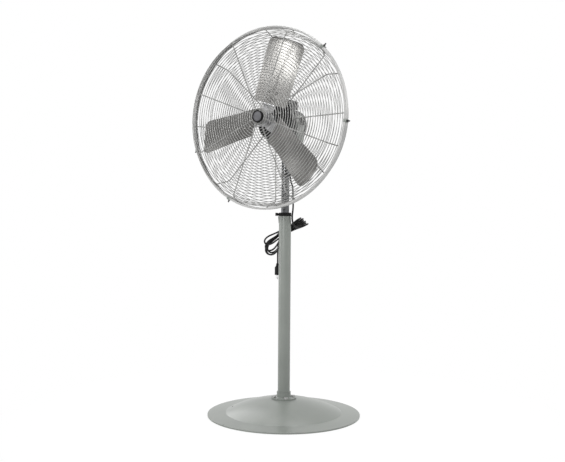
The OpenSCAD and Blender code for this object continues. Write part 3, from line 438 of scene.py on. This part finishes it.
def cordCurve(name, path, diameter, roundness=3):
    curve = bpy.data.curves.new(name, "CURVE")
    curve.dimensions = "3D"
    curve.bevel_depth = diameter / 2
    curve.bevel_resolution = roundness
    curve.use_fill_caps = True
    spline = curve.splines.new("POLY")
    spline.points.add(len(path) - 1)
    for point, place in zip(spline.points, path):
        point.co = (*place, 1)
    spline.use_smooth = True
    cord = bpy.data.objects.new(name, curve)
    bpy.context.collection.objects.link(cord)
    return cord


# mains cord, folded in a hank behind the pole

mains = {
    "diameter": 0.008,
    "clip": (15.8, 18.9, 1123),  # millimetres, as both routes
    "straight": (0.15, 8, 14),  # points straight below the clip
    "dropRoute": [
        (16.5, 20, 1099), (19, 23.5, 1088), (22.5, 28, 1076), (24, 29, 1062), (25, 28.5, 1045),
        (27, 27, 1015), (31, 22, 985), (35, 14, 960), (38, 4, 938), (38.5, 1, 922), (37, 6, 908),
        (34, 17, 895), (32, 33, 884), (33, 50, 877), (38.5, 65.5, 876), (47, 75, 880)],
    "tailRoute": [
        (-14, 71, 846), (-23, 75, 826), (-29, 77, 804), (-32, 77, 782), (-33, 76, 760),
        (-33, 75.5, 735), (-33, 75, 704.3)],  # in the hank's own plane
    "fineStep": 0.002,  # metres between the points that are relaxed
    "relaxPasses": 50,
    "step": 0.004,  # and between those of the cord
}

hank = {  # millimetres, along its plane and up
    "turn": 33,  # degrees, the plane it hangs in
    "depth": 59,  # from the pole's axis back to its middle
    "pitch": 8.5,  # from one strand to the next
    "foldRadius": 20,
    "foldAngles": (90, 60, 30, 0, -30, -60, -90),
    "right": (82, 903),
    "rightSpread": 0.96,  # how wide the right folds stand, as a share of their pitch
    "rightFolds": [3, -4, -2, -8, -6, -14],  # how far each fold reaches past that end
    "tied": (30, 874.5),
    "middle": (14, 866),
    "bend": (0, 858),
    "halfway": 0.42,  # where a loop's strands begin to part, from the bend to the loop
    "leftLoops": [  # place and radius
        (-82, 810, 17), (-73, 785, 21), (-68, 770, 25), (-65, 768, 24), (-63, 775, 21)],
    "loopAngles": (-80, -50, -25, 0, 25, 50, 80),
}


def hankPoint(u, depth, z):
    turn = math.radians(hank["turn"])
    return Vector((u * math.cos(turn) - depth * math.sin(turn),
                   u * math.sin(turn) + depth * math.cos(turn), z))


def hankLayer(k):
    return (k - (len(hank["rightFolds"]) - 1) / 2) * hank["pitch"]


def strandCell(k, side, packed, shift):
    # offset across the bundle and in depth of one strand, between spread (0) and packed (1)
    pair, member = divmod(k, 2)
    across = hank["foldRadius"] + (hank["pitch"] - hank["foldRadius"]) * packed
    spreadDepth = (hankLayer(2 * pair + shift) + hankLayer(2 * pair + 1 + shift)) / 2
    packedDepth = (pair - 1) * hank["pitch"]
    angle = math.radians(90 * (1 - packed))
    sign = 1 if member == 0 else -1
    half = sign * hank["pitch"] / 2
    depth = spreadDepth + (packedDepth - spreadDepth) * packed - half * math.sin(angle)
    return side * (across + half * math.cos(angle)), depth


def hankStrands():
    right, tied, middle, bend = (Vector(hank[k]) for k in ("right", "tied", "middle", "bend"))
    along = (right - bend).normalized()
    up = Vector((-along.y, along.x))
    route = []

    def place(centre, normal, offset, depth):
        spot = centre + normal * offset
        route.append(hankPoint(spot.x, hank["depth"] + depth, spot.y))

    def rightFold(k):
        # the bundle stands a quarter turned here, so each fold opens in depth
        centre = right + along * hank["rightFolds"][k]
        for angle in hank["foldAngles"]:
            a = math.radians(angle)
            place(centre + along * hank["foldRadius"] * math.cos(a), up,
                  hankLayer(k) * hank["rightSpread"], -hank["foldRadius"] * math.sin(a))

    def leftLoop(k):
        u, z, radius = hank["leftLoops"][k]
        loop = Vector((u, z))
        down = (loop - bend).normalized()
        out = Vector((down.y, -down.x))
        corner = (up + out).normalized()
        halfway = bend + (loop - bend) * hank["halfway"]
        spreadDepth = strandCell(k, -1, 0.5, 0)[1]
        offset, depth = strandCell(k, -1, 1, 0)
        place(bend, corner, offset, depth)
        place(halfway, out, (offset - radius) / 2, spreadDepth)
        for angle in hank["loopAngles"]:
            a = math.radians(angle)
            place(loop + down * radius * math.cos(a), out, radius * math.sin(a), hankLayer(k))
        offset, depth = strandCell(k, 1, 1, 1)
        place(halfway, out, (offset + radius) / 2, spreadDepth)
        place(bend, corner, offset, depth)
        place(middle, up, offset, depth)
        place(tied, up, offset, depth)

    for k in range(len(hank["rightFolds"])):
        rightFold(k)
        offset, depth = strandCell(k, -1, 1, 0)
        place(tied, up, offset, depth)
        place(middle, up, offset, depth)
        if k < len(hank["leftLoops"]):
            leftLoop(k)
        else:
            place(bend, up, offset, depth)
    return route


# plug and tie on the mains cord

plug = {
    "place": (-33, 75, 704),  # millimetres, in the hank's plane
    "size": (0.026, 0.0221, 0.038),
    "neck": 0.017,  # from the cord to the body
    "corner": 0.0075,
    "cornerSteps": 5,
    "gripEdge": 0.0014,
    "gripRise": 0.0009,
    "shoulder": (-0.004, 0.72),  # rise and scale of the face, as in the next three
    "rib": [(-0.0012, 0.96), (-0.0014, 0.84), (-0.0008, 1.14), (-0.0010, 1.0)],
    "ribs": 3,
    "neckEnd": (-0.0006, 0.9),
    "faceEdge": 0.0022,
    "faceDip": 0.0008,
    "bevel": 0.0006,
    "smoothBelow": 50,  # degrees
}


def plugMatrix():
    # local z runs from the cord down to the pins
    return spun("Z", hank["turn"]) @ moved(*plug["place"]) @ spun("X", 180)


def makePlug():
    piece = startBlock("plugBody", plug["size"], plug["neck"])
    pickUpright(plug["size"][2] / 2)
    bpy.ops.mesh.bevel(offset=plug["corner"], segments=plug["cornerSteps"])
    pickFaces(lambda centre, normal: max(abs(normal.x), abs(normal.y)) > shaping["square"])
    bpy.ops.mesh.inset(thickness=plug["gripEdge"], use_individual=True)
    bpy.ops.transform.shrink_fatten(value=plug["gripRise"])
    pickFaces(lambda centre, normal: normal.z < -shaping["facing"])
    raiseFace(*plug["shoulder"])
    for rise, share in plug["rib"] * plug["ribs"]:
        raiseFace(rise, share)
    raiseFace(*plug["neckEnd"])
    pickTop(plug["neck"] + plug["size"][2] * shaping["nearTop"])
    bpy.ops.mesh.inset(thickness=plug["faceEdge"])
    raiseFace(-plug["faceDip"])
    stopShaping(piece, plug["bevel"], plug["smoothBelow"])
    settle(piece, plugMatrix())
    dress(piece, "mast", "plug_body", finish["blackMoulding"])
    return piece


pins = {
    "start": 0.0553,  # from the cord's end
    "flat": (0.0015, 0.00635, 0.017),
    "flatTip": (0.6, 0.7, 1),  # scale of the tip
    "flatEdge": 0.0012,
    "flatBevel": 0.0003,
    "flatPlace": (6.35, -3.325, 0),  # millimetres, on both sides
    "earthRadius": 0.0024,
    "earthLength": 0.018,
    "earthSides": 24,
    "earthTip": [(0.0012, 0.8), (0.0008, 0.6)],  # rise and scale
    "earthBevel": 0.0002,
    "earthPlace": (0, 5, 0),
}


def makePins():
    x, y, z = pins["flatPlace"]
    flats = []
    for side in (-1, 1):
        flat = startBlock("pin", pins["flat"], pins["start"])
        pickTop(pins["start"])
        raiseFace(0.0)
        bpy.ops.transform.resize(value=pins["flatTip"],
                                 center_override=(0, 0, pins["start"] + pins["flat"][2]))
        pickFaces(lambda centre, normal: abs(normal.x) > shaping["facing"])
        bpy.ops.mesh.inset(thickness=pins["flatEdge"], use_individual=True)
        stopShaping(flat, pins["flatBevel"])
        settle(flat, moved(side * x, y, z))
        flats.append(flat)
    earth = startRound("plugPins", pins["earthRadius"], pins["earthLength"],
                       pins["earthSides"], pins["start"])
    pickTop(pins["start"])
    for rise, share in pins["earthTip"]:
        raiseFace(rise, share)
    stopShaping(earth, pins["earthBevel"])
    settle(earth, moved(*pins["earthPlace"]))
    piece = joinTo(earth, flats)
    settle(piece, plugMatrix())
    dress(piece, "mast", "plug_prongs", finish["zincSteel"])
    return piece


tie = {
    "size": (0.0365, 0.0305, 0.009),  # inside the strap, and its width
    "corner": 0.0045,
    "cornerSteps": 5,
    "thick": 0.0015,
    "bevel": 0.0004,
    "tilt": -29,  # degrees, across the bundle
    "buckle": (0.012, 0.0035, 0.0115),
    "buckleEdge": 0.0018,
    "buckleDip": 0.0012,
    "buckleBevel": 0.0006,
    "buckleOut": 2.2,  # millimetres from the strap's inside
}


def makeStrap():
    width = tie["size"][2]
    strap = startBlock("cordTie", tie["size"], -width / 2)
    pickFaces(lambda centre, normal: abs(normal.z) > shaping["facing"])
    bpy.ops.mesh.delete(type="ONLY_FACE")
    pickUpright(width / 2)
    bpy.ops.mesh.bevel(offset=tie["corner"], segments=tie["cornerSteps"])
    bpy.ops.object.mode_set(mode="OBJECT")
    wall = strap.modifiers.new("wall", "SOLIDIFY")
    wall.thickness = tie["thick"]
    wall.offset = 1
    bpy.ops.object.modifier_apply(modifier=wall.name)
    stopShaping(strap, tie["bevel"])
    return strap


def makeBuckle():
    buckle = startBlock("buckle", tie["buckle"], -tie["buckle"][2] / 2)
    pickFaces(lambda centre, normal: normal.y > shaping["facing"])
    bpy.ops.mesh.inset(thickness=tie["buckleEdge"])
    bpy.ops.mesh.extrude_region_move(
        TRANSFORM_OT_translate={"value": (0, -tie["buckleDip"], 0)})
    stopShaping(buckle, tie["buckleBevel"])
    settle(buckle, moved(0, tie["size"][1] / 2 * 1000 + tie["buckleOut"], 0))
    return buckle


def makeTie():
    piece = joinTo(makeStrap(), [makeBuckle()])
    u, z = [(a + b) / 2 for a, b in zip(hank["tied"], hank["bend"])]
    settle(piece, spun("Z", hank["turn"]) @ moved(u, hank["depth"], z)
           @ spun("Y", tie["tilt"]) @ spun("Y", 90))
    dress(piece, "mast", "cord_tie", finish["blackMoulding"])
    return piece


plugBody = makePlug()
plugPins = makePins()
cordTie = makeTie()


def makeMainsCord():
    clip = Vector(mains["clip"])
    route = [clip - Vector((0, 0, step)) for step in mains["straight"]]
    route += [Vector(p) for p in mains["dropRoute"]] + hankStrands()
    route += [hankPoint(*p) for p in mains["tailRoute"]]
    path = evenPath([p / 1000 for p in smoothPath(route)], mains["fineStep"])
    path = evenPath(relax(path, mains["relaxPasses"]), mains["step"])
    cord = cordCurve("mainsCord", path, mains["diameter"])
    cord.data.materials.append(finish["cordVinyl"])
    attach(cord, "mast")
    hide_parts("cord_drop", "cord_hank", "cord_tail")


makeMainsCord()


# lead from the motor down to the clip

lead = {
    "diameter": 0.008,
    "route": [  # millimetres
        (-34, 109.005, 1328.325), (-34, 128, 1322), (-33, 143, 1309), (-30, 151, 1290),
        (-25, 149, 1270), (-18, 137, 1250), (-10, 115, 1230), (-2, 90, 1208.5), (5, 65, 1188),
        (11, 45.5, 1172), (14.5, 30.5, 1159.5), (15.6, 23, 1150), (15.8, 18.9, 1137),
        (15.8, 18.9, 1131), (15.8, 18.9, 1123.2)],
    "step": 0.004,
    "bendFrom": (-0.034, 0.11, 1.328),  # the stretch of the lead between these two points
    "bendTo": (0.005, 0.065, 1.188),
}


def makeMotorLead():
    path = [p / 1000 for p in smoothPath([Vector(p) for p in lead["route"]])]
    curve = cordCurve("motorLead", evenPath(path, lead["step"]), lead["diameter"])
    selectOnly(curve)
    bpy.ops.object.convert(target="MESH")
    piece = bpy.context.object
    piece.data.materials.clear()
    piece.data.materials.append(finish["cordVinyl"])
    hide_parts("motor_lead")
    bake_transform(piece)


makeMotorLead()
print("cords done")


# badge on the front of the guard

badge = {
    "radius": 0.027,
    "sides": 64,
    "height": 0.008,
    "rim": 0.005,
    "rimSlope": 0.3,  # share of the rim that slopes up to its ridge
    "ridge": 0.0006,
    "faceDepth": 0.0022,
    "faceShare": 0.98,
    "faceEdge": 0.004,
    "faceRise": 0.0004,
    "up": 1368,  # millimetres
}


def makeBadge():
    piece = startRound("badge", badge["radius"], badge["height"], badge["sides"])
    pickTop(badge["height"] * shaping["nearTop"])
    bpy.ops.mesh.inset(thickness=badge["rim"] * badge["rimSlope"])
    raiseFace(badge["ridge"])
    bpy.ops.mesh.inset(thickness=badge["rim"] * (1 - badge["rimSlope"]))
    raiseFace(-badge["ridge"] - badge["faceDepth"], badge["faceShare"])
    bpy.ops.mesh.inset(thickness=badge["faceEdge"])
    raiseFace(badge["faceRise"])
    low = badge["height"] - badge["faceDepth"]
    pickFaces(lambda centre, normal: normal.z > shaping["facing"]
              and abs(centre.z - low) < 2 * badge["faceRise"])
    bpy.ops.object.mode_set(mode="OBJECT")
    plain = [face.index for face in piece.data.polygons if face.select]
    stopShaping(piece)
    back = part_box("guard_badge")[1][1]  # metres
    settle(piece, moved(0, back * 1000, badge["up"]) @ spun("X", 90))
    dress(piece, "head", "guard_badge", finish["blackMoulding"], finish["badgeFace"])
    for index in plain:
        piece.data.polygons[index].material_index = 1


makeBadge()


# hand knobs

knobs = {  # sizes in metres, places in millimetres, turns in degrees
    "tiltKnobLeft": dict(
        node="tilt_knob_left", body="tilt_left", radius=0.017, height=0.016, lobes=6, cut=0.955,
        bossRadius=0.0068, bossHeight=0.006, around=0, place=(-82.9, 0, 1368), turn=("Y", -90)),
    "tiltKnobRight": dict(
        node="tilt_knob_right", body="tilt_right", radius=0.017, height=0.016, lobes=6, cut=0.955,
        bossRadius=0.0068, bossHeight=0.006, around=0, place=(82.9, 0, 1368), turn=("Y", 90)),
    "lockKnob": dict(
        node="lock_knob", body="lock", radius=0.008, height=0.012, lobes=6, cut=0.96,
        bossHeight=0, around=213, place=(33.075, 0, 938.3), turn=("Y", 90)),
    "speedKnob": dict(
        node="speed_knob", body="speed", radius=0.013, height=0.014, lobes=12, cut=0.975,
        bossHeight=0, around=0, place=(0, 66.3, 1452), turn=("X", -90)),
}

knobStyle = {  # rises as shares of the height, each with the scale of the face
    "sidesPerLobe": 8,
    "scallops": (3.2, 2.2, 1.2),  # half widths in sides, each pass narrows and deepens them
    "dish": [(0.05, 0.9), (0, 0.72), (-0.14, 0.94)],
    "dishRadius": 0.5,  # share of the knob's radius from which the boss is scaled
    "bossSide": (0.09, 0.94),
    "bossTop": [(0.03, 0.8), (0, 0.6), (-0.06, 1)],
    "bevel": 0.03,  # share of the radius
}


def fromScallop(place, lobes):
    # how many sides a point is from the middle of the nearest scallop
    each = knobStyle["sidesPerLobe"]
    step = math.atan2(place.y, place.x) / (2 * math.pi) * lobes * each
    return abs((step + each / 2) % each - each / 2)


def cutScallops(knob):
    for width in knobStyle["scallops"]:
        pickVerts(lambda place: fromScallop(place, knob["lobes"]) < width)
        bpy.ops.transform.resize(value=(knob["cut"], knob["cut"], 1), center_override=(0, 0, 0))


def makeKnob(name):
    knob = knobs[name]
    height = knob["height"]
    piece = startRound(name, knob["radius"], height, knob["lobes"] * knobStyle["sidesPerLobe"])
    cutScallops(knob)
    pickTop(height * shaping["nearTop"])
    for rise, share in knobStyle["dish"]:
        raiseFace(height * rise, share)
    if knob["bossHeight"]:
        raiseFace(0.0, knob["bossRadius"] / (knob["radius"] * knobStyle["dishRadius"]))
        rise, share = knobStyle["bossSide"]
        raiseFace(height * rise + knob["bossHeight"], share)
        for rise, share in knobStyle["bossTop"]:
            raiseFace(height * rise, share)
    stopShaping(piece, knob["radius"] * knobStyle["bevel"])
    settle(piece, spun("Z", knob["around"]) @ moved(*knob["place"]) @ spun(*knob["turn"]))
    dress(piece, knob["body"], knob["node"], finish["blackMoulding"])


for name in knobs:
    makeKnob(name)
print("badge and knobs done")


# room and light

room = {
    "floorSize": 60,
    "floorDrop": 0.0005,  # below the fan's foot
    "floorColour": (0.90, 0.90, 0.90),
    "floorRough": 0.9,
    "floorGloss": 0.1,
    "shadowShare": 0.16,  # how much of the floor's own shading the camera sees
    "shadowFrom": 0.5,  # metres from the pole, where the shading begins to fade
    "shadowReach": 1.3,  # and past which the floor is plain white
    "skyStrength": 0.25,
    "lamps": [  # name, place, aim, size, power
        ("topLamp", (-0.2, 0.6, 4.6), (0, 0, 0.4), 3.0, 90),
        ("backLamp", (3.2, 2.4, 3.0), (0, 0, 0.4), 3.0, 110),
        ("leftLamp", (-3.6, 0.9, 2.8), (0, 0, 0.4), 3.6, 84),
        ("frontLamp", (0.2, -4.6, 2.15), (0, 0, 1.3), 1.4, 135),
        ("lowLamp", (-4.6, -2.8, 0.3), (0, 0, 1.2), 1.8, 36),
    ],
}


def mathNode(tree, operation, *sources):
    node = tree.nodes.new("ShaderNodeMath")
    node.operation = operation
    for socket, source in zip(node.inputs, sources):
        tree.links.new(source, socket)
    return node.outputs[0]


def whiteRays(tree):
    # 1 for rays that show the background, 0 for those that light the object
    rays = tree.nodes.new("ShaderNodeLightPath").outputs
    seen = mathNode(tree, "MAXIMUM", rays["Is Camera Ray"], rays["Is Transmission Ray"])
    return mathNode(tree, "MAXIMUM", seen, rays["Is Glossy Ray"])


def makeFloor():
    bpy.ops.mesh.primitive_plane_add(size=room["floorSize"], location=(0, 0, -room["floorDrop"]))
    floor = bpy.context.object
    floor.name = "studioFloor"
    material, tree, shader = startMaterial("studioFloor")
    shader.inputs["Base Color"].default_value = (*room["floorColour"], 1)
    shader.inputs["Roughness"].default_value = room["floorRough"]
    shader.inputs["Specular IOR Level"].default_value = room["floorGloss"]
    coords = tree.nodes.new("ShaderNodeTexCoord")
    reach = tree.nodes.new("ShaderNodeVectorMath")
    reach.operation = "LENGTH"
    fade = tree.nodes.new("ShaderNodeMapRange")
    fade.inputs["From Min"].default_value = room["shadowFrom"]
    fade.inputs["From Max"].default_value = room["shadowReach"]
    fade.inputs["To Min"].default_value = 1 - room["shadowShare"]
    fade.inputs["To Max"].default_value = 1
    tree.links.new(coords.outputs["Object"], reach.inputs[0])
    tree.links.new(reach.outputs["Value"], fade.inputs["Value"])
    share = mathNode(tree, "MULTIPLY", whiteRays(tree), fade.outputs["Result"])
    glow = tree.nodes.new("ShaderNodeEmission")
    blend = tree.nodes.new("ShaderNodeMixShader")
    tree.links.new(share, blend.inputs["Fac"])
    tree.links.new(shader.outputs[0], blend.inputs[1])
    tree.links.new(glow.outputs[0], blend.inputs[2])
    tree.links.new(blend.outputs[0], tree.nodes["Material Output"].inputs["Surface"])
    floor.data.materials.append(material)


def makeSky():
    world = bpy.data.worlds.new("studioSky")
    bpy.context.scene.world = world
    world.use_nodes = True
    tree = world.node_tree
    back = tree.nodes["Background"]
    strength = tree.nodes.new("ShaderNodeMix")
    strength.data_type = "FLOAT"
    strength.inputs["A"].default_value = room["skyStrength"]
    strength.inputs["B"].default_value = 1.0  # plain white where it is seen
    tree.links.new(whiteRays(tree), strength.inputs["Factor"])
    tree.links.new(strength.outputs["Result"], back.inputs["Strength"])
    back.inputs["Color"].default_value = (1, 1, 1, 1)


def softLamp(name, place, aim, size, power):
    bpy.ops.object.light_add(type="AREA", location=place)
    lamp = bpy.context.object
    lamp.name = name
    lamp.data.shape = "SQUARE"
    lamp.data.size = size
    lamp.data.energy = power
    lamp.rotation_euler = (Vector(aim) - Vector(place)).to_track_quat("-Z", "Y").to_euler()


makeFloor()
makeSky()
for lamp in room["lamps"]:
    softLamp(*lamp)
bpy.context.scene.view_settings.view_transform = "Standard"
print("room and light done")
